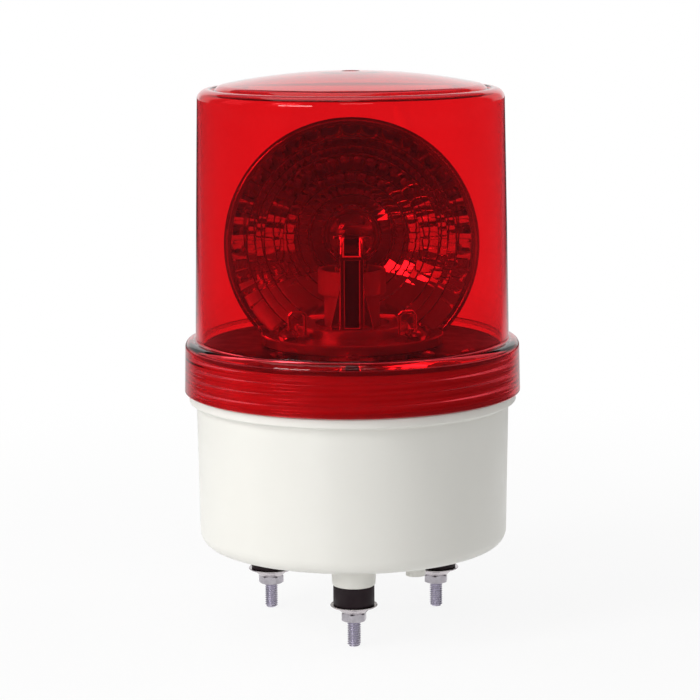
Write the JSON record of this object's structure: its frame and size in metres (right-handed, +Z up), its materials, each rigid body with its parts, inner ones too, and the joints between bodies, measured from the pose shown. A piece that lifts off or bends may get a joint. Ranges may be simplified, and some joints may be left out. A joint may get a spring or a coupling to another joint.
{
  "type": "rotating warning light with horn",
  "caption": "Rotating warning light with a built-in horn: red screw-on lens over a motor-driven mirror and bulb, on a white round base that stands on rubber-mounted studs.",
  "frame": {"origin": "centre of the round base in the plane of the three stud tips it stands on", "axes": "+Z up along the lamp axis, -Y towards the front, the way the mirror faces at rest and one stud points"},
  "size_m": [0.15, 0.15, 0.248],
  "materials": {
    "housing_white": "satin",
    "lens_red": "gloss",
    "seal_black": "matte",
    "isolator_black": "matte",
    "zinc": "satin",
    "deck_grey": "matte",
    "mirror": "polished",
    "bright_metal": "polished",
    "spring_steel": "polished",
    "socket_steel": "satin",
    "brass": "satin",
    "clear_glass": "gloss",
    "filament": "satin",
    "nylon": "satin",
    "gear_nylon": "satin",
    "motor_steel": "satin",
    "black_plastic": "matte",
    "wire_red": "satin",
    "board_green": "satin",
    "ferrite": "matte",
    "diaphragm": "satin",
    "terminal_green": "satin"
  },
  "bodies": {
    "base": {"base_housing": "housing_white", "mounting_studs": "zinc", "hex_nuts": "zinc", "inner_nuts": "zinc", "spring_washers": "zinc", "flat_washers": "zinc", "rubber_isolators": "isolator_black", "chassis_deck": "deck_grey", "deck_screws": "zinc", "lamp_pillar": "socket_steel", "pillar_screws": "zinc", "thrust_washer": "nylon", "retaining_clip": "spring_steel", "gearbox_housing": "motor_steel", "motor_can": "motor_steel", "motor_bracket": "zinc", "motor_screws": "zinc", "bracket_spacers": "zinc", "bracket_screws": "zinc", "lamp_socket": "socket_steel", "bayonet_shell": "brass", "contact_plunger": "brass", "bulb_cap": "brass", "bulb_glass": "clear_glass", "bulb_filament": "filament", "lamp_leads": "wire_red", "horn_gasket": "seal_black", "horn_frame": "black_plastic", "horn_diaphragm": "diaphragm", "horn_magnet": "ferrite", "horn_screws": "zinc", "control_board": "board_green", "board_components": "black_plastic", "terminal_block": "terminal_green", "board_screws": "zinc"},
    "rotor": {"rotor_bush": "nylon", "turntable": "bright_metal", "drive_gear": "gear_nylon", "gear_screws": "zinc", "reflector": "mirror", "reflector_screws": "zinc", "reflector_clips": "spring_steel", "shield_post": "bright_metal", "shield_screw": "zinc"},
    "pinion": {"drive_pinion": "gear_nylon", "output_shaft": "zinc"},
    "seal": {"lens_seal": "seal_black"},
    "lens": {"lens": "lens_red"}
  },
  "joints": [
    {"name": "rotor_spin", "type": "hinge", "parent": "base", "child": "rotor", "pos_m": [0, 0, 0.1297], "axis": [0, 0, 1], "continuous": true},
    {"name": "pinion_spin", "type": "hinge", "parent": "base", "child": "pinion", "pos_m": [0, -0.045, 0.124], "axis": [0, 0, 1], "continuous": true},
    {"name": "lens_rise", "type": "slide", "parent": "base", "child": "seal", "axis": [0, 0, 1], "range_m": [0, 0.0141]},
    {"name": "lens_unscrew", "type": "hinge", "parent": "seal", "child": "lens", "pos_m": [0, 0, 0.119], "axis": [0, 0, 1], "range_deg": [0, 1080]}
  ],
  "couplings": [
    {"joint": "pinion_spin", "follows": "rotor_spin", "ratio": -4},
    {"joint": "lens_rise", "follows": "lens_unscrew", "m_per_rad": 0.000748}
  ]
}
